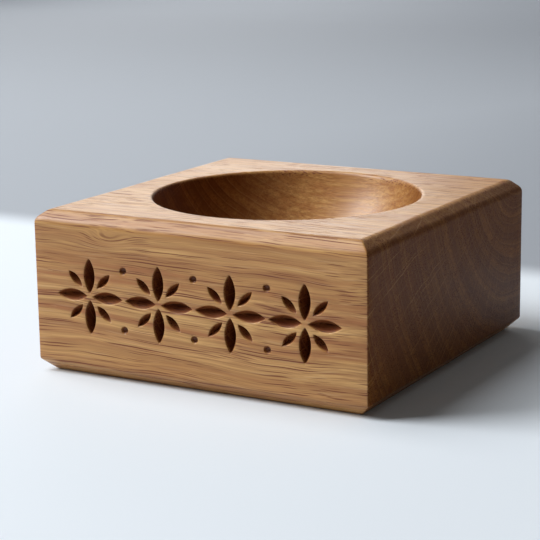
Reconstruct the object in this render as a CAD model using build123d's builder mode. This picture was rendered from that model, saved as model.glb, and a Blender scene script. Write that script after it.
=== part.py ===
from build123d import *
import os
from math import radians, tan

# Salt bowl: one square block of solid oak, with a round hollow turned into its top
# and a frieze of V-shaped cuts across its front. There is nothing to fasten and
# nothing that moves: the block is the whole object.
#
# Frame: millimetres, +Z up, the front faces -Y and the grain of the wood runs
# along X. The origin is the middle of the underside, where the block stands.

# The block, planed and cut square from one board
SIDE = 120.0  # length of each of the four sides
HEIGHT = 53.5
TOP_CHAMFER = 3.4
BASE_CHAMFER = 4.0
EASING = 1.5  # sanded radius on both edges of every chamfer
ARRIS = 0.5  # sanded radius on the four upright corners

# The hollow, turned as one sweep from the rim to the middle
HOLLOW_RADIUS = 44.8
HOLLOW_DEPTH = 36.0
RIM_EASING = 1.4

# The carved frieze: a row of eight-petalled stars with drill-point dots between them
CUTTER_SLOPE = 60.0  # degrees between a cut wall and the face, from a 60 degree V-bit
STARS = 4
STAR_PITCH = 26.0
STAR_HEIGHT = 27.0  # of the middle of the row, above the table
PETALS = 4  # of each of the two lengths, in one star
LONG_PETAL = (0.9, 12.6, 4.2)  # where it starts and ends from the star's middle, and its width
SHORT_PETAL = (3.9, 11.2, 2.7)
DOT_RADIUS = 1.3
DOT_RISE = 9.6  # of each dot above or below the middle of the row
OVERRUN = 0.5  # how far a cutter reaches past the face that it cuts

STEEPNESS = tan(radians(CUTTER_SLOPE))


def v_cone(radius):
    """The space that a V-bit sweeps inside a circle of this radius on the face, pointing into the wood."""
    return Cone(
        radius + OVERRUN / STEEPNESS,
        0,
        radius * STEEPNESS + OVERRUN,
        rotation=(180, 0, 0),
        align=(Align.CENTER, Align.CENTER, Align.MIN),
    )


def petal_cutter(start, end, width):
    """A leaf-shaped cut along X, as deep as its width allows: where the cones of its two curved edges meet."""
    length = end - start
    edge_radius = (length**2 + width**2) / (4 * width)
    sideways = edge_radius - width / 2
    cone = v_cone(edge_radius)
    middle = Pos((start + end) / 2, 0, OVERRUN)
    return (middle * Pos(0, sideways, 0) * cone) & (middle * Pos(0, -sideways, 0) * cone)


long_petal = petal_cutter(*LONG_PETAL)
short_petal = petal_cutter(*SHORT_PETAL)
dot = Pos(0, 0, OVERRUN) * v_cone(DOT_RADIUS)

front_face = Plane(origin=(0, -SIDE / 2, STAR_HEIGHT), x_dir=(1, 0, 0), z_dir=(0, -1, 0))

with BuildPart() as bowl_block:
    # Squared block: chamfers that meet in mitres, then the sanding of every edge
    Box(SIDE, SIDE, HEIGHT, align=(Align.CENTER, Align.CENTER, Align.MIN))
    chamfer(bowl_block.edges().group_by(Axis.Z)[-1], TOP_CHAMFER)
    chamfer(bowl_block.edges().group_by(Axis.Z)[0], BASE_CHAMFER)
    fillet(bowl_block.edges().filter_by(Axis.X) + bowl_block.edges().filter_by(Axis.Y), EASING)
    fillet(bowl_block.edges().filter_by(Axis.Z), ARRIS)

    # Hollow for the salt
    floor = (0, HEIGHT - HOLLOW_DEPTH)
    rim = (HOLLOW_RADIUS, HEIGHT)
    with BuildSketch(Plane.XZ) as hollow:
        with BuildLine():
            TangentArc(floor, rim, tangent=(1, 0))
            Polyline(rim, (0, HEIGHT), floor)
        make_face()
    revolve(axis=Axis.Z, mode=Mode.SUBTRACT)
    rim_edge = bowl_block.edges().filter_by(GeomType.CIRCLE).sort_by(Axis.Z)[-1]
    fillet(rim_edge, RIM_EASING)

    # Frieze
    with Locations(front_face):
        with GridLocations(STAR_PITCH, 0, STARS, 1):
            with PolarLocations(0, PETALS):
                add(long_petal, mode=Mode.SUBTRACT)
            with PolarLocations(0, PETALS, start_angle=180 / PETALS):
                add(short_petal, mode=Mode.SUBTRACT)
        with GridLocations(STAR_PITCH, 2 * DOT_RISE, STARS - 1, 2):
            add(dot, mode=Mode.SUBTRACT)

bowl_block.part.label = "bowl_block"
os.makedirs("parts", exist_ok=True)
export_step(bowl_block.part, "parts/bowl_block.step")
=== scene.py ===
from math import acos, atan2, cos, hypot, pi, radians, sin, sqrt, tan

import bmesh
import bpy
from mathutils import Matrix, Vector, noise
from mathutils.geometry import delaunay_2d_cdt


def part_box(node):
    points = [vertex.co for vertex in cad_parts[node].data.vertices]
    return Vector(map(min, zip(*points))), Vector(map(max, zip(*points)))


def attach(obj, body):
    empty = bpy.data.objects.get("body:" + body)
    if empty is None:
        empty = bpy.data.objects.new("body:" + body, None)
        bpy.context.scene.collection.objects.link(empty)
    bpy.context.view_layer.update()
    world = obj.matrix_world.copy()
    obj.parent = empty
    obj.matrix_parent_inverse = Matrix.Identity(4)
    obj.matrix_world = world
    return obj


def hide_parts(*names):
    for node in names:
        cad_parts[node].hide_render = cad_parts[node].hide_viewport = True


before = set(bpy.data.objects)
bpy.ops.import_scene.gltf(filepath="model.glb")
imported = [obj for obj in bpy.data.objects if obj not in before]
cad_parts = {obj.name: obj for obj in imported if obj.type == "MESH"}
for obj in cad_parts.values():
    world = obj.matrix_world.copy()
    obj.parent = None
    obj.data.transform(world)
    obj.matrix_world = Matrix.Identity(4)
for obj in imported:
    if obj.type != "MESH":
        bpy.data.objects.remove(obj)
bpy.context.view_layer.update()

# The bowl is one block of solid oak. It is planed and sawn square, its edges are
# chamfered and sanded by hand, the hollow is turned on a lathe, and the row of
# stars is cut into the front with a V-shaped bit. All sizes here are millimetres.
MM = 0.001
low_corner, high_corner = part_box("bowl_block")
SIDE = (high_corner.x - low_corner.x) / MM
HEIGHT = high_corner.z / MM
TOP_INSET = 3.7
TOP_DROP = 3.1
BASE_INSET = 4.1
BASE_RISE = 3.9
TOP_EASING = 3.0  # sanded radius along both edges of the top chamfer
BASE_EASING = 1.4
ARRIS = 0.5  # sanded radius of the upright corners
SANDING_DRIFT = 0.4  # how far the hand-sanded chamfers wander
SANDING_WAVE = 30.0  # over what length they do so
FINER_WAVE = 2.7  # how many times shorter a second, weaker wander is
FINER_SHARE = 0.35

# Stations round the block: each side is split evenly as seen from its middle, so
# the same stations run up the walls, across the top and down into the hollow.
SIDE_STEPS = 64
CORNER_STEPS = 4
STATION_ANGLE = pi / 2 / (SIDE_STEPS + CORNER_STEPS)
SIDE_REACH = SIDE_STEPS / 2 * STATION_ANGLE
stations = []
for side in range(4):
    for step in range(SIDE_STEPS + CORNER_STEPS):
        turn = -SIDE_REACH + step * STATION_ANGLE
        corner_turn = max(0, step - SIDE_STEPS) / CORNER_STEPS * pi / 2
        stations.append((side, turn, corner_turn))


def quarter_turns(x, y, side):
    """The plan point turned to the given side: 0 is the front, then anticlockwise."""
    for _ in range(side):
        x, y = -y, x
    return x, y


def plan_point(station, inset):
    """The point of a station on the block's outline, drawn in by the inset."""
    side, turn, corner_turn = station
    half = SIDE / 2 - inset
    core = half - ARRIS
    if corner_turn:
        return quarter_turns(core + ARRIS * sin(corner_turn), -core - ARRIS * cos(corner_turn), side)
    return quarter_turns(core * tan(turn) / tan(SIDE_REACH), -half, side)


def eased(points, radius, steps=5, support=0.25):
    """The line through the points, its inner corners rounded to the radius, with a
    support point just outside each end of every arc to keep the flats flat."""
    line = [points[0]]
    for before, corner, after in zip(points, points[1:], points[2:]):
        corner = Vector(corner)
        back = (Vector(before) - corner).normalized()
        ahead = (Vector(after) - corner).normalized()
        half_angle = acos(max(-1, min(1, back.dot(ahead)))) / 2
        reach = radius / tan(half_angle)
        centre = corner + (back + ahead).normalized() * radius / sin(half_angle)
        start = corner + back * reach - centre
        end = corner + ahead * reach - centre
        line.append(tuple(corner + back * (reach + support)))
        for step in range(steps + 1):
            spoke = start.lerp(end, step / steps).normalized() * radius
            line.append(tuple(centre + spoke))
        line.append(tuple(corner + ahead * (reach + support)))
    line.append(points[-1])
    return line


def drift(x, y, layer):
    """How far hand sanding has moved a chamfer's edge at this place."""
    spot = Vector((x / SANDING_WAVE, y / SANDING_WAVE, layer * 7.3))
    return SANDING_DRIFT * (noise.noise(spot) + FINER_SHARE * noise.noise(spot * FINER_WAVE))


BASE_FLAT = 2.5  # of flat beside the base chamfer, before the underside is closed
TOP_FLAT = 3.0  # of flat beside the top chamfer, before the rows that run to the rim


def wall_profile(station):
    """(inset, height) up the outside at a station, from the underside to the top."""
    x, y = plan_point(station, 0)
    base_rise = BASE_RISE + drift(x, y, 1)
    top_drop = TOP_DROP + drift(x, y, 2)
    top_inset = TOP_INSET + drift(x, y, 3)
    low = [(BASE_INSET + BASE_FLAT, 0), (BASE_INSET, 0), (0, base_rise), (0, HEIGHT / 2)]
    high = [(0, HEIGHT / 2), (0, HEIGHT - top_drop), (top_inset, HEIGHT), (top_inset + TOP_FLAT, HEIGHT)]
    return eased(low, BASE_EASING)[:-1], eased(high, TOP_EASING)[1:]


shell = bmesh.new()
bake_map = shell.loops.layers.uv.new("OFBake")


def vertex(x, y, z):
    """A corner of the mesh, from its place in millimetres."""
    return shell.verts.new((x * MM, y * MM, z * MM))


# Walls: rows of flat between the lower and the upper easing
WALL_ROWS = 12
rings = []
profiles = [wall_profile(station) for station in stations]
low_count = len(profiles[0][0])
high_count = len(profiles[0][1])
for row in range(low_count):
    rings.append([vertex(*plan_point(s, p[0][row][0]), p[0][row][1]) for s, p in zip(stations, profiles)])
for row in range(1, WALL_ROWS):
    share = row / WALL_ROWS
    rings.append([
        vertex(*plan_point(s, 0), p[0][-1][1] * (1 - share) + p[1][0][1] * share)
        for s, p in zip(stations, profiles)
    ])
for row in range(high_count):
    rings.append([vertex(*plan_point(s, p[1][row][0]), p[1][row][1]) for s, p in zip(stations, profiles)])
FIRST_WALL_RING = low_count - 1
LAST_WALL_RING = low_count + WALL_ROWS - 1

# The hollow: part of a ball, its rim rolled over to the flat top
HOLLOW_RADIUS = 44.8
HOLLOW_DEPTH = 36.0
RIM_EASING = 1.4
BALL = (HOLLOW_RADIUS**2 + HOLLOW_DEPTH**2) / (2 * HOLLOW_DEPTH)
BALL_HEIGHT = HEIGHT - HOLLOW_DEPTH + BALL
roll_height = HEIGHT - RIM_EASING
roll_radius = sqrt((BALL + RIM_EASING) ** 2 - (BALL_HEIGHT - roll_height) ** 2)
roll_end = atan2(BALL_HEIGHT - roll_height, roll_radius)
RIM_SUPPORT = 0.4  # from the last flat ring of the top to where the rim begins to roll
TOP_ROWS = 9
ROLL_STEPS = 8
HOLLOW_STEPS = 40


def circle_ring(radius, height):
    """One level circle round the hollow, with a corner at every station."""
    ring = []
    for side, turn, _ in stations:
        x, y = quarter_turns(radius * sin(turn), -radius * cos(turn), side)
        ring.append(vertex(x, y, height))
    return ring


top_edge = rings[-1]
rim_outer = roll_radius + RIM_SUPPORT
for row in range(1, TOP_ROWS):
    share = row / TOP_ROWS
    ring = []
    for (side, turn, _), edge in zip(stations, top_edge):
        x, y = quarter_turns(rim_outer * sin(turn), -rim_outer * cos(turn), side)
        spot = edge.co / MM
        ring.append(vertex(spot.x * (1 - share) + x * share, spot.y * (1 - share) + y * share, HEIGHT))
    rings.append(ring)
rings.append(circle_ring(rim_outer, HEIGHT))
for step in range(ROLL_STEPS + 1):
    lean = (pi / 2 - roll_end) * step / ROLL_STEPS
    rings.append(circle_ring(roll_radius - RIM_EASING * sin(lean), roll_height + RIM_EASING * cos(lean)))
for step in range(1, HOLLOW_STEPS):
    polar = (pi / 2 - roll_end) * (1 - step / HOLLOW_STEPS)
    rings.append(circle_ring(BALL * sin(polar), BALL_HEIGHT - BALL * cos(polar)))
hollow_floor = vertex(0, 0, HEIGHT - HOLLOW_DEPTH)

# The frieze: four eight-petalled stars with small drilled dots between them
FRONT = -SIDE / 2
CUTTER_SLOPE = 60.0  # degrees between a cut wall and the face, from the V-shaped bit
STEEPNESS = tan(radians(CUTTER_SLOPE))
CUT_EASING = 0.12  # how far the sanding softens each side of a cut's edge
STARS = 4
STAR_PITCH = 26.0
STAR_HEIGHT = 27.0
LONG_PETAL = (0.9, 12.6, 4.2)  # start and end from the star's middle, and width
SHORT_PETAL = (3.9, 11.2, 2.7)
DOT_RADIUS = 1.3
DOT_RISE = 9.6
PETAL_STEPS = 22
DOT_STEPS = 28


def cut_depth(inside):
    """How deep the wood is cut at this distance inside a cut's edge."""
    if inside <= -CUT_EASING:
        return 0
    if inside >= CUT_EASING:
        return inside * STEEPNESS
    return (inside + CUT_EASING) ** 2 / (4 * CUT_EASING) * STEEPNESS


EASED_STEPS = [-CUT_EASING, -CUT_EASING / 3, CUT_EASING / 3, CUT_EASING]


def petal_loops(petal):
    """A petal lying along the first axis from the star's middle: closed loops from
    its eased edge inwards, and the valley that its two walls meet in."""
    start, end, width = petal
    length = end - start
    edge_radius = (length**2 + width**2) / (4 * width)
    sideways = edge_radius - width / 2
    middle = (start + end) / 2
    loops = []
    for inside in EASED_STEPS:
        radius = edge_radius - inside
        reach = acos(sideways / radius)
        loop = []
        for step in range(2 * PETAL_STEPS):
            half = -1 if step >= PETAL_STEPS else 1
            angle = (2 * (step % PETAL_STEPS) / PETAL_STEPS - 1) * reach
            loop.append((
                middle + half * radius * sin(angle),
                -half * (radius * cos(angle) - sideways),
                cut_depth(inside),
            ))
        loops.append(loop)
    valley = []
    for step in range(1, PETAL_STEPS):
        angle = (2 * step / PETAL_STEPS - 1) * reach
        inside = edge_radius - sideways / cos(angle)
        valley.append((middle + sideways * tan(angle), 0, cut_depth(inside)))
    return loops, valley


def placed(points, star_x, star_z, turn):
    """The cut's points turned about its star's middle and set into the front."""
    return [
        vertex(
            star_x + along * cos(turn) - across * sin(turn),
            FRONT + depth,
            star_z + along * sin(turn) + across * cos(turn),
        )
        for along, across, depth in points
    ]


front_faces = []
cut_outlines = []


def skin(loop, next_loop):
    """Quads between two closed loops of the same length."""
    for i in range(len(loop)):
        j = (i + 1) % len(loop)
        front_faces.append(shell.faces.new((loop[i], loop[j], next_loop[j], next_loop[i])))


for star in range(STARS):
    star_x = (star - (STARS - 1) / 2) * STAR_PITCH
    for eighth in range(8):
        loops, valley = petal_loops(SHORT_PETAL if eighth % 2 else LONG_PETAL)
        turn = eighth * pi / 4
        loops = [placed(loop, star_x, STAR_HEIGHT, turn) for loop in loops]
        valley = placed(valley, star_x, STAR_HEIGHT, turn)
        cut_outlines.append(loops[0])
        for loop, next_loop in zip(loops, loops[1:]):
            skin(loop, next_loop)
        inner = loops[-1]
        ridge = [inner[0]] + valley + [inner[PETAL_STEPS]]
        for i in range(PETAL_STEPS):
            lower = [inner[i], inner[i + 1], ridge[i + 1], ridge[i]]
            upper = [inner[-i], inner[-i - 1], ridge[i + 1], ridge[i]]
            for corners in (lower, upper[::-1]):
                corners = list(dict.fromkeys(corners))
                front_faces.append(shell.faces.new(corners))
        for a, b in zip(ridge, ridge[1:]):
            shell.edges.get((a, b)).smooth = False
for column in range(STARS - 1):
    for rise in (-DOT_RISE, DOT_RISE):
        spot_x = (column - (STARS - 2) / 2) * STAR_PITCH
        loops = []
        for inside in EASED_STEPS:
            radius = DOT_RADIUS - inside
            angles = [2 * pi * i / DOT_STEPS for i in range(DOT_STEPS)]
            circle = [(radius * cos(angle), radius * sin(angle), cut_depth(inside)) for angle in angles]
            loops.append(placed(circle, spot_x, STAR_HEIGHT + rise, 0))
        cut_outlines.append(loops[0])
        for loop, next_loop in zip(loops, loops[1:]):
            skin(loop, next_loop)
        tip = placed([(0, 0, cut_depth(DOT_RADIUS))], spot_x, STAR_HEIGHT + rise, 0)[0]
        for i in range(DOT_STEPS):
            front_faces.append(shell.faces.new((loops[-1][i], loops[-1][(i + 1) % DOT_STEPS], tip)))

# The flat of the front between the cuts, in triangles: from its border, the edges
# of the cuts, and a staggered field of points clear of both
wall_rings = rings[FIRST_WALL_RING : LAST_WALL_RING + 1]
border = list(wall_rings[0][: SIDE_STEPS + 1])
border += [ring[SIDE_STEPS] for ring in wall_rings[1:-1]]
border += wall_rings[-1][: SIDE_STEPS + 1][::-1]
border += [ring[0] for ring in wall_rings[1:-1]][::-1]
flat_points = list(border)
outline_indices = [list(range(len(border)))]
for outline in cut_outlines:
    outline_indices.append(list(range(len(flat_points), len(flat_points) + len(outline))))
    flat_points += outline
FLAT_PITCH = 2.0
MARGIN_COLUMNS = 2
MARGIN_ROWS = 3
CLEARANCE = 0.7  # from a point of the field to a cut
cut_points = [point.co / MM for outline in cut_outlines for point in outline]
columns = int(SIDE / FLAT_PITCH)
rows = int(HEIGHT / FLAT_PITCH)
for column in range(MARGIN_COLUMNS, columns - MARGIN_COLUMNS + 1):
    for row in range(MARGIN_ROWS, rows - MARGIN_ROWS + 1):
        x = column * FLAT_PITCH - SIDE / 2
        z = row * FLAT_PITCH + (column % 2) * FLAT_PITCH / 2
        if min(hypot(x - p.x, z - p.z) for p in cut_points) > CLEARANCE:
            flat_points.append(vertex(x, FRONT, z))


def within(x, z, outline):
    """Whether the point lies inside the closed outline."""
    inside = False
    for a, b in zip(outline, outline[1:] + outline[:1]):
        if (a.z > z) != (b.z > z) and x < (b.x - a.x) * (z - a.z) / (b.z - a.z) + a.x:
            inside = not inside
    return inside


cut_shapes = [[p.co / MM for p in outline] for outline in cut_outlines]
cut_boxes = [
    (min(p.x for p in s), max(p.x for p in s), min(p.z for p in s), max(p.z for p in s)) for s in cut_shapes
]


def in_a_cut(x, z):
    """Whether the point lies over any petal or dot."""
    return any(
        box[0] < x < box[1] and box[2] < z < box[3] and within(x, z, shape)
        for box, shape in zip(cut_boxes, cut_shapes)
    )


for vert in [p for p in flat_points[len(border) :] if not p.link_faces]:
    if in_a_cut(vert.co.x / MM, vert.co.z / MM):
        flat_points.remove(vert)
        shell.verts.remove(vert)
coordinates = [Vector((p.co.x / MM, p.co.z / MM)) for p in flat_points]
result = delaunay_2d_cdt(coordinates, [], outline_indices, 1, 1e-5, True)
came_from = [origin[0] for origin in result[3]]
for triangle, owners in zip(result[2], result[5]):
    if owners == [0]:
        front_faces.append(shell.faces.new([flat_points[came_from[i]] for i in triangle]))

# Skin the rest: walls, chamfers, top, rim and hollow, then the underside
ring_faces = {}
for row, (ring, next_ring) in enumerate(zip(rings, rings[1:])):
    for i in range(len(stations)):
        in_front = stations[i][0] == 0 and i < SIDE_STEPS
        if in_front and FIRST_WALL_RING <= row < LAST_WALL_RING:
            continue
        j = (i + 1) % len(stations)
        face = shell.faces.new((ring[i], ring[j], next_ring[j], next_ring[i]))
        ring_faces[face] = (row, stations[i][0])
for i in range(len(stations)):
    j = (i + 1) % len(stations)
    ring_faces[shell.faces.new((rings[-1][i], rings[-1][j], hollow_floor))] = (len(rings), 0)
underside = shell.faces.new(rings[0][::-1])

# Bake map: the top and hollow, the underside, and the four walls, each laid flat
MAP_SIZE = 252.0
MAP_GAP = 4.0


def top_map(spot):
    """Flat from above, with the hollow spread out so that its steep wall gets room."""
    radius = hypot(spot.x, spot.y)
    scale = 1
    if radius < roll_radius - RIM_EASING and spot.z < roll_height:
        polar = atan2(radius, BALL_HEIGHT - spot.z)
        scale = (roll_radius - RIM_EASING) * polar / (pi / 2 - roll_end) / max(radius, 0.001)
    return SIDE / 2 + spot.x * scale, SIDE / 2 + spot.y * scale


def wall_map(spot, side):
    """A wall turned to the front and laid beside the others, two by two."""
    x, y = quarter_turns(spot.x, spot.y, (4 - side) % 4)
    column, row = side % 2, side // 2
    along = SIDE / 2 + x + column * (SIDE + MAP_GAP)
    return along, SIDE + MAP_GAP + row * (HEIGHT + MAP_GAP) + spot.z


def lay(face, place):
    """Sets a face's corners down on the map, where the given rule puts them."""
    for loop in face.loops:
        u, v = place(loop.vert.co / MM)
        loop[bake_map].uv = ((u + MAP_GAP) / MAP_SIZE, (v + MAP_GAP) / MAP_SIZE)


def underside_map(spot):
    """Flat from below, to the right of the top."""
    return SIDE + MAP_GAP + SIDE / 2 - spot.x, SIDE / 2 + spot.y


for face, (row, side) in ring_faces.items():
    if row < FIRST_WALL_RING:
        lay(face, underside_map)
    elif row < LAST_WALL_RING:
        lay(face, lambda spot, side=side: wall_map(spot, side))
    else:
        lay(face, top_map)
lay(underside, underside_map)
for face in front_faces:
    lay(face, lambda spot: wall_map(spot, 0))

for face in shell.faces:
    face.smooth = True
bmesh.ops.recalc_face_normals(shell, faces=shell.faces)
# The front's triangles took the place of its wall rows, whose corners are left over
left_over = [corner for corner in shell.verts if not corner.link_faces]
bmesh.ops.delete(shell, geom=left_over, context="VERTS")
block_mesh = bpy.data.meshes.new("oak_block")
shell.to_mesh(block_mesh)
shell.free()
block = bpy.data.objects.new("oak_block", block_mesh)
bpy.context.scene.collection.objects.link(block)

# Oak, oiled: one solid of wood from which the block is cut, so rings, pores and
# rays run through it from face to face. The heart of the tree lies just above the
# back edge and runs along X.
oak = bpy.data.materials.new("oiled_oak")
oak.use_nodes = True
wires = oak.node_tree
wires.nodes.clear()


def put(target, value):
    """Feeds a socket from another socket, or sets it to a plain value."""
    if isinstance(value, bpy.types.NodeSocket):
        wires.links.new(value, target)
    else:
        target.default_value = value


def maths(operation, *values):
    """One sum of the wood's pattern."""
    node = wires.nodes.new("ShaderNodeMath")
    node.operation = operation
    for socket, value in zip(node.inputs, values):
        put(socket, value)
    return node.outputs[0]


def vectors(operation, *values):
    """One sum on places in the wood."""
    node = wires.nodes.new("ShaderNodeVectorMath")
    node.operation = operation
    for socket, value in zip(node.inputs, values):
        put(socket, value)
    return node.outputs["Value" if operation == "LENGTH" else "Vector"]


def ramp(value, low, high, to_low=0.0, to_high=1.0):
    """Eases from one level to another as the value goes from low to high."""
    node = wires.nodes.new("ShaderNodeMapRange")
    node.interpolation_type = "SMOOTHSTEP"
    for name, level in (("From Min", low), ("From Max", high), ("To Min", to_low), ("To Max", to_high)):
        put(node.inputs[name], level)
    put(node.inputs["Value"], value)
    return node.outputs["Result"]


def cloud(place, detail, seed, roughness=0.5):
    """Soft random patches about one unit of the place across: a value about 0.5."""
    node = wires.nodes.new("ShaderNodeTexNoise")
    node.noise_dimensions = "4D"
    put(node.inputs["Vector"], place)
    put(node.inputs["W"], seed)
    put(node.inputs["Scale"], 1.0)
    put(node.inputs["Detail"], detail)
    put(node.inputs["Roughness"], roughness)
    return node.outputs["Fac"]


def swing(value, reach):
    """A cloud's value turned into a push either way, this far in all."""
    return maths("MULTIPLY", maths("SUBTRACT", value, 0.5), reach)


def tint(share, first, second, blend="MIX"):
    """The first colour with a share of the second over it."""
    node = wires.nodes.new("ShaderNodeMix")
    node.data_type = "RGBA"
    node.blend_type = blend
    put(node.inputs[0], share)
    put(node.inputs[6], first)
    put(node.inputs[7], second)
    return node.outputs[2]


def place_of(x, y, z):
    """One place made of three distances."""
    node = wires.nodes.new("ShaderNodeCombineXYZ")
    for socket, value in zip(node.inputs, (x, y, z)):
        put(socket, value)
    return node.outputs[0]


def parts_of(vector):
    """The three distances of a place."""
    node = wires.nodes.new("ShaderNodeSeparateXYZ")
    put(node.inputs[0], vector)
    return node.outputs[0], node.outputs[1], node.outputs[2]


def srgb(red, green, blue):
    """A colour given as it looks, from 0 to 255."""

    def linear(level):
        level /= 255
        return level / 12.92 if level <= 0.04045 else ((level + 0.055) / 1.055) ** 2.4

    return (linear(red), linear(green), linear(blue), 1)


PITH = (58.0, 70.0)  # y and z of the heart of the tree
coords = wires.nodes.new("ShaderNodeTexCoord")
spot = vectors("SCALE", coords.outputs["Object"])
spot.node.inputs["Scale"].default_value = 1 / MM
x, y, z = parts_of(spot)

# The trunk isn't straight: its grain sways over its length, ripples a little, and
# swirls round the root of a small twig, high on the left of the front
SWAY = 9.0
SWAYS = (0.009, 0.014, 0.014)  # to the millimetre, along the grain and both ways across it
RIPPLE = 3.8
RIPPLES = (0.028, 0.08, 0.08)
TWIG_SWIRL = 2.2
TWIG_SWIRLS = (0.07, 0.10, 0.22)
TWIG_ROOT = (-31.0, -60.0, 46.0)
swaying = vectors("MULTIPLY", spot, SWAYS)
sway_y = swing(cloud(swaying, 1, 1.0), SWAY)
sway_z = swing(cloud(swaying, 1, 5.0), SWAY)
rippling = vectors("MULTIPLY", spot, RIPPLES)
sway_z = maths("ADD", sway_z, swing(cloud(rippling, 2, 9.0), RIPPLE))
from_twig = vectors("MULTIPLY", vectors("SUBTRACT", spot, TWIG_ROOT), TWIG_SWIRLS)
swirl = ramp(vectors("LENGTH", from_twig), 0.0, 1.0, 1.0, 0.0)
sway_z = maths("ADD", sway_z, maths("MULTIPLY", swirl, TWIG_SWIRL))
across = maths("ADD", maths("SUBTRACT", y, PITH[0]), sway_y)
upward = maths("ADD", maths("SUBTRACT", z, PITH[1]), sway_z)
radius = maths("SQRT", maths("ADD", maths("MULTIPLY", across, across), maths("MULTIPLY", upward, upward)))
bearing = maths("ARCTAN2", upward, across)

# Growth rings, some years wider than others
RING_WIDTH = 2.9
UNEVEN_YEARS = 3.5  # how many rings' width the lean and fat years can add up to
YEARS_ALIKE = 9.0  # over how many millimetres the years stay lean or fat
years = cloud(place_of(maths("DIVIDE", radius, YEARS_ALIKE), 0.0, 0.0), 2, 2.0)
ring_count = maths("ADD", maths("DIVIDE", radius, RING_WIDTH), swing(years, UNEVEN_YEARS))
ring_phase = maths("FRACT", ring_count)
year = wires.nodes.new("ShaderNodeTexWhiteNoise")
year.noise_dimensions = "1D"
put(year.inputs["W"], maths("FLOOR", ring_count))
year_luck = year.outputs["Value"]
# Spring wood: from the start of a ring to the middle of it, in some years more than in others
spring = maths("MULTIPLY", ramp(ring_phase, 0.0, 0.06), ramp(ring_phase, 0.16, 0.5, 1.0, 0.0))
spring = maths("MULTIPLY", spring, ramp(year_luck, 0.0, 1.0, 0.45, 1.0))

# From here on places follow the swaying grain
grain_spot = place_of(x, across, upward)


def grain_cloud(along_grain, across_grain, detail, seed, roughness=0.5):
    """Patches drawn out along the grain: so many to the millimetre each way."""
    scaled = vectors("MULTIPLY", grain_spot, (along_grain, across_grain, across_grain))
    return cloud(scaled, detail, seed, roughness)


def pores(pitch_along, pitch_across, half_length, half_width, seed):
    """Open tubes: needles along the grain and dots on the end grain, 1 at the middle
    of a pore and 0 outside. Gives with it a random value for each pore."""
    node = wires.nodes.new("ShaderNodeTexVoronoi")
    node.feature = "F1"
    scaled = vectors("MULTIPLY", grain_spot, (1 / pitch_along, 1 / pitch_across, 1 / pitch_across))
    scaled = vectors("ADD", scaled, (seed, seed * 2.3, seed * 3.1))
    put(node.inputs["Vector"], scaled)
    put(node.inputs["Scale"], 1.0)
    away = vectors("SUBTRACT", scaled, node.outputs["Position"])
    spread = pitch_across / half_width
    away = vectors("MULTIPLY", away, (pitch_along / half_length, spread, spread))
    return ramp(vectors("LENGTH", away), 0.55, 1.0, 1.0, 0.0), parts_of(node.outputs["Color"])[0]


# Wide pores and fine ones, each crowded in some places and faint in others
CROWDING = 1.6
crowding = swing(grain_cloud(0.012, 0.13, 1, 3.0), CROWDING)
wide_pores, luck = pores(46.0, 0.80, 22.0, 0.25, 0.0)
wide_pores = maths("MULTIPLY", wide_pores, ramp(maths("ADD", luck, crowding), 0.0, 0.5, 0.25, 1.0))
fine_pores, luck = pores(17.0, 0.46, 7.5, 0.14, 4.0)
fine_pores = maths("MULTIPLY", fine_pores, ramp(maths("ADD", luck, crowding), 0.1, 0.8, 0.2, 0.95))
pore = maths("MAXIMUM", wide_pores, fine_pores)

# Rays: thin upright sheets of hard tissue that run out from the heart
RAY_REACH = 105.0  # from the heart, where the rays stand RAY_PITCH apart
RAY_PITCH = 3.2
RAY_LENGTH = 13.0  # of a ray's cell along the grain
RAY_DEPTH = 34.0  # of a ray's cell out from the heart
RAY_SHAPE = (14.0, 1.9, 1.4)  # how thin, short and shallow a ray is within its cell
ray_spot = place_of(
    maths("MULTIPLY", bearing, RAY_REACH / RAY_PITCH),
    maths("DIVIDE", x, RAY_LENGTH),
    maths("DIVIDE", radius, RAY_DEPTH),
)
ray_cells = wires.nodes.new("ShaderNodeTexVoronoi")
ray_cells.feature = "F1"
put(ray_cells.inputs["Vector"], ray_spot)
put(ray_cells.inputs["Scale"], 1.0)
from_ray = vectors("SUBTRACT", ray_spot, ray_cells.outputs["Position"])
ray = ramp(vectors("LENGTH", vectors("MULTIPLY", from_ray, RAY_SHAPE)), 0.45, 1.0, 1.0, 0.0)

# The silk of the fibres, and broad bands of paler and redder wood
fibre = grain_cloud(0.014, 1.1, 3, 4.0, 0.6)
fine_fibre = grain_cloud(0.05, 4.0, 2, 6.0, 0.6)
patches = grain_cloud(0.007, 0.10, 2, 7.0, 0.55)
red_streaks = grain_cloud(0.010, 0.42, 2, 8.0)

# How far a surface cuts across the grain: 1 on the two ends
end_grain = ramp(maths("ABSOLUTE", parts_of(coords.outputs["Normal"])[0]), 0.25, 1.0)

PALE_OAK = srgb(221, 174, 108)
TAN_OAK = srgb(200, 150, 87)
RED_OAK = srgb(162, 92, 47)
SPRING_OAK = srgb(152, 99, 50)
PORE_DARK = srgb(112, 49, 20)
PORE_SHARE = 0.95
RAY_PALE = srgb(216, 178, 134)
END_OIL = srgb(172, 145, 107)
colour = tint(ramp(patches, 0.35, 0.65), TAN_OAK, PALE_OAK)
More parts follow.
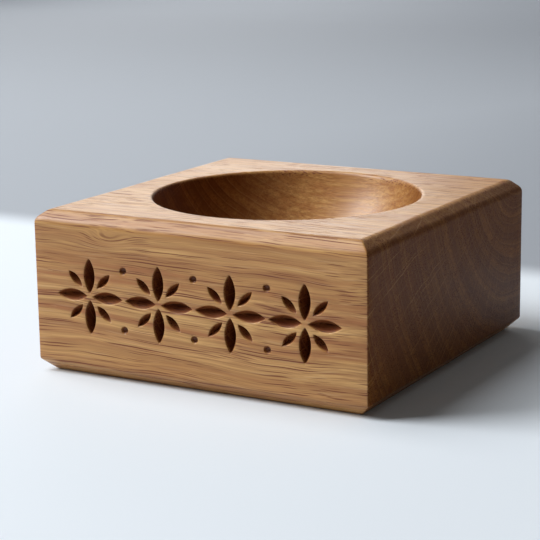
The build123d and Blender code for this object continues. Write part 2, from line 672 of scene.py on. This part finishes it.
# The years that show in the middle of the front were redder than the rest
RED_START = (120.5, 123.5)  # from the heart, where they begin and where they are fully red
RED_END = (127.5, 132.0)
red_years = maths("MULTIPLY", ramp(radius, *RED_START), ramp(radius, *RED_END, 1.0, 0.0))
red_share = maths("MULTIPLY", ramp(red_streaks, 0.38, 0.68), ramp(red_years, 0.0, 1.0, 0.45, 0.85))
colour = tint(red_share, colour, RED_OAK)
colour = tint(maths("MULTIPLY", spring, ramp(end_grain, 0.0, 1.0, 0.3, 0.7)), colour, SPRING_OAK)
colour = tint(ramp(fibre, 0.34, 0.60, 0.58, 0.0), colour, SPRING_OAK)
colour = tint(ramp(fine_fibre, 0.35, 0.65, 0.40, 0.0), colour, SPRING_OAK)
# Year by year the end grain is paler or darker, with a thin line where growth stopped
BAND_WIDTH = 5.5
bands = cloud(place_of(maths("DIVIDE", radius, BAND_WIDTH), 0.0, 0.0), 1, 12.0)
colour = tint(maths("MULTIPLY", end_grain, ramp(bands, 0.38, 0.62, 0.75, 0.0)), colour, SPRING_OAK)
stopped = maths("MULTIPLY", ramp(ring_phase, 0.80, 0.97), ramp(year_luck, 0.0, 1.0, 0.1, 0.6))
colour = tint(maths("MULTIPLY", end_grain, stopped), colour, RAY_PALE)
# Below the rim the turned wall is filled with oil, so its pores and rays fade
RIM_CLEAR = 1.2  # past the hollow's radius, clear of its rolled rim
OIL_TOP = (1.0, 2.5)  # below the top, where the fading begins and is full
HOLLOW_SHARE = 0.3
below_rim = ramp(z, HEIGHT - OIL_TOP[1], HEIGHT - OIL_TOP[0], 1.0, 0.0)
from_middle = maths("MAXIMUM", maths("ABSOLUTE", x), maths("ABSOLUTE", y))
in_hollow = ramp(from_middle, HOLLOW_RADIUS + RIM_CLEAR, HOLLOW_RADIUS + RIM_CLEAR + 1, 1.0, 0.0)
in_hollow = maths("MULTIPLY", in_hollow, below_rim)
ray = maths("MULTIPLY", ray, ramp(in_hollow, 0.0, 1.0, 1.0, HOLLOW_SHARE))
colour = tint(maths("MULTIPLY", ray, ramp(end_grain, 0.0, 1.0, 0.2, 1.0)), colour, RAY_PALE)
pore = maths("MULTIPLY", pore, ramp(in_hollow, 0.0, 1.0, 1.0, HOLLOW_SHARE))
colour = tint(maths("MULTIPLY", pore, PORE_SHARE), colour, PORE_DARK)
# End grain drinks more oil, so it is darker
colour = tint(end_grain, colour, tint(1.0, colour, END_OIL, "MULTIPLY"))

# Painted shade darkens the cuts, and the bit marks them with fine slanting lines
FRIEZE_REACH = 54.0  # of the cuts to either side of the middle
FRIEZE_RISE = 15.0  # of the cuts above and below the middle of the row
CUT_START = (0.1, 0.7)  # into the front, where the painted shade and the marks begin and are full
CUTS_END = 5.0  # into the front, past the deepest cut
CUT_SHADE = srgb(156, 94, 60)
CUT_SHADE_SHARE = 0.85
MARK_SLANT = 0.6
MARK_TURNS = 9.0  # radians of the marks' wave to the millimetre
into_front = maths("SUBTRACT", y, FRONT)
off_row = maths("ABSOLUTE", maths("SUBTRACT", z, STAR_HEIGHT))
in_cut = ramp(into_front, *CUT_START)
in_cut = maths("MULTIPLY", in_cut, ramp(into_front, CUTS_END, CUTS_END + 1, 1.0, 0.0))
in_cut = maths("MULTIPLY", in_cut, ramp(off_row, FRIEZE_RISE, FRIEZE_RISE + 1, 1.0, 0.0))
in_cut = maths("MULTIPLY", in_cut, ramp(maths("ABSOLUTE", x), FRIEZE_REACH, FRIEZE_REACH + 1, 1.0, 0.0))
# Painted shade: the wood inside the cuts is darkened toward this colour
colour = tint(maths("MULTIPLY", in_cut, CUT_SHADE_SHARE), colour, tint(1.0, colour, CUT_SHADE, "MULTIPLY"))
slanting = maths("ADD", maths("ADD", x, z), maths("MULTIPLY", into_front, MARK_SLANT))
marks = maths("SINE", maths("MULTIPLY", slanting, MARK_TURNS))

# Heights that the light catches, in millimetres
PORE_DEPTH = 0.025
FIBRE_RELIEF = 0.04
FINE_FIBRE_RELIEF = 0.03
MARK_RELIEF = 0.012
relief = maths("MULTIPLY", pore, -PORE_DEPTH)
relief = maths("ADD", relief, swing(fine_fibre, FINE_FIBRE_RELIEF))
relief = maths("ADD", relief, swing(fibre, FIBRE_RELIEF))
relief = maths("ADD", relief, maths("MULTIPLY", maths("MULTIPLY", marks, in_cut), MARK_RELIEF))
bump = wires.nodes.new("ShaderNodeBump")
put(bump.inputs["Height"], relief)
put(bump.inputs["Distance"], MM)
put(bump.inputs["Strength"], 0.8)

# A satin sheen of oil: rougher in the pores, and weak on the end grain
OILED = (0.31, 0.43)  # roughness, as the fibres go
PORE_ROUGHNESS = 0.25
FACE_GLOSS = 0.5
END_GLOSS = 0.08
sheen = wires.nodes.new("ShaderNodeBsdfPrincipled")
put(sheen.inputs["Base Color"], colour)
dullness = maths("ADD", maths("MULTIPLY", pore, PORE_ROUGHNESS), ramp(fibre, 0.2, 0.8, *OILED))
put(sheen.inputs["Roughness"], dullness)
put(sheen.inputs["Specular IOR Level"], ramp(end_grain, 0.0, 1.0, FACE_GLOSS, END_GLOSS))
put(sheen.inputs["Normal"], bump.outputs["Normal"])
surface = wires.nodes.new("ShaderNodeOutputMaterial")
wires.links.new(sheen.outputs["BSDF"], surface.inputs["Surface"])
block_mesh.materials.append(oak)
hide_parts("bowl_block")
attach(block, "root")

# The studio: one painted sheet that lies flat under the block and sweeps up behind
# it. It is white as far as the table's far edge in the photograph and grey-blue
# beyond, with painted shade greying it further back and to the right. Its sizes are metres.
TABLE_EDGE = 0.143
EDGE_BLUR = 0.016  # the far edge is out of focus, so one colour runs into the other
FLAT_END = 1.15
SWEEP_RADIUS = 0.6
SWEEP_STEPS = 24
STAGE_WIDTH = 3.0
STAGE_FRONT = -3.0
STAGE_TOP = 2.0
profile = [(STAGE_FRONT, 0.0), (FLAT_END, 0.0)]
for step in range(1, SWEEP_STEPS + 1):
    bend = pi / 2 * step / SWEEP_STEPS
    profile.append((FLAT_END + SWEEP_RADIUS * sin(bend), SWEEP_RADIUS * (1 - cos(bend))))
profile.append((FLAT_END + SWEEP_RADIUS, STAGE_TOP))
corners = [(x, y, z) for y, z in profile for x in (-STAGE_WIDTH, STAGE_WIDTH)]
strips = [(2 * i, 2 * i + 1, 2 * i + 3, 2 * i + 2) for i in range(len(profile) - 1)]
sweep_mesh = bpy.data.meshes.new("studio_sweep")
sweep_mesh.from_pydata(corners, [], strips)
for face in sweep_mesh.polygons:
    face.use_smooth = True
sweep = bpy.data.objects.new("studio_sweep", sweep_mesh)
bpy.context.scene.collection.objects.link(sweep)

WHITE_PAINT = srgb(229, 238, 247)
WALL_PAINT = srgb(170, 177, 186)
SHADED_WALL_PAINT = srgb(150, 156, 165)
FAR_SHADE = (0.4, 1.15)  # behind the block, where the painted shade starts and where it is deepest
RIGHT_SHADE = (-0.25, 0.0)
RIGHT_SHADE_SHARE = 0.7
paint = bpy.data.materials.new("studio_paint")
paint.use_nodes = True
wires = paint.node_tree
painted = wires.nodes["Principled BSDF"]
stage_x, stage_y = parts_of(wires.nodes.new("ShaderNodeTexCoord").outputs["Object"])[:2]
beyond = ramp(stage_y, TABLE_EDGE - EDGE_BLUR, TABLE_EDGE + EDGE_BLUR)
# Painted shade: the paint turns greyer further back and to the right
painted_shade = maths("MAXIMUM", ramp(stage_y, *FAR_SHADE), ramp(stage_x, *RIGHT_SHADE, 0.0, RIGHT_SHADE_SHARE))
put(painted.inputs["Base Color"], tint(beyond, WHITE_PAINT, tint(painted_shade, WALL_PAINT, SHADED_WALL_PAINT)))
painted.inputs["Roughness"].default_value = 0.85
painted.inputs["Specular IOR Level"].default_value = 0.2
sweep_mesh.materials.append(paint)

# The lamps: a large window to the left, its light off the ceiling above, and a low
# far window behind on the left, which lays the pale sheen on the block's top. All
# three are soft squares, and the room gives a weak warm light from everywhere.


def lamp(name, place, target, size, power, colour):
    """A square soft light, aimed at a point."""
    data = bpy.data.lights.new(name, "AREA")
    data.size = size
    data.energy = power
    data.color = colour
    light = bpy.data.objects.new(name, data)
    light.location = place
    light.rotation_euler = (Vector(target) - Vector(place)).to_track_quat("-Z", "Y").to_euler()
    bpy.context.scene.collection.objects.link(light)


lamp("window", (-1.60, -0.80, 1.35), (0, 0, 0.03), 1.1, 44, (1.0, 1.0, 1.0))
lamp("ceiling", (-0.86, -0.06, 1.53), (0, 0, 0.03), 1.0, 15, (1.0, 1.0, 1.0))
lamp("far_window", (-0.88, 1.27, 0.47), (0, 0, 0.05), 0.68, 3.5, (1.0, 0.97, 0.91))
world = bpy.data.worlds.new("room")
bpy.context.scene.world = world
world.use_nodes = True
room_light = world.node_tree.nodes["Background"]
room_light.inputs["Color"].default_value = (1.0, 0.91, 0.79, 1)
room_light.inputs["Strength"].default_value = 0.10

# The camera stands where the photograph was taken from: turned to the left, tipped
# a little down, and level to a degree.
CAMERA_PLACE = Vector((0.2842, -0.5088, 0.1609))
CAMERA_YAW = radians(29.78)
CAMERA_PITCH = radians(12.91)
CAMERA_ROLL = radians(-0.85)
SENSOR_WIDTH = 36.0
LENS = 118.25
ahead = Vector((
    -sin(CAMERA_YAW) * cos(CAMERA_PITCH),
    cos(CAMERA_YAW) * cos(CAMERA_PITCH),
    -sin(CAMERA_PITCH),
))
level = Vector((cos(CAMERA_YAW), sin(CAMERA_YAW), 0))
above = level.cross(ahead)
right = level * cos(CAMERA_ROLL) + above * sin(CAMERA_ROLL)
above = above * cos(CAMERA_ROLL) - level * sin(CAMERA_ROLL)
camera_data = bpy.data.cameras.new("camera")
camera_data.sensor_width = SENSOR_WIDTH
camera_data.lens = LENS
camera = bpy.data.objects.new("camera", camera_data)
turned = Matrix((right, above, -ahead)).transposed().to_4x4()
camera.matrix_world = Matrix.Translation(CAMERA_PLACE) @ turned
bpy.context.scene.collection.objects.link(camera)
bpy.context.scene.camera = camera
bpy.context.scene.view_settings.view_transform = "Standard"
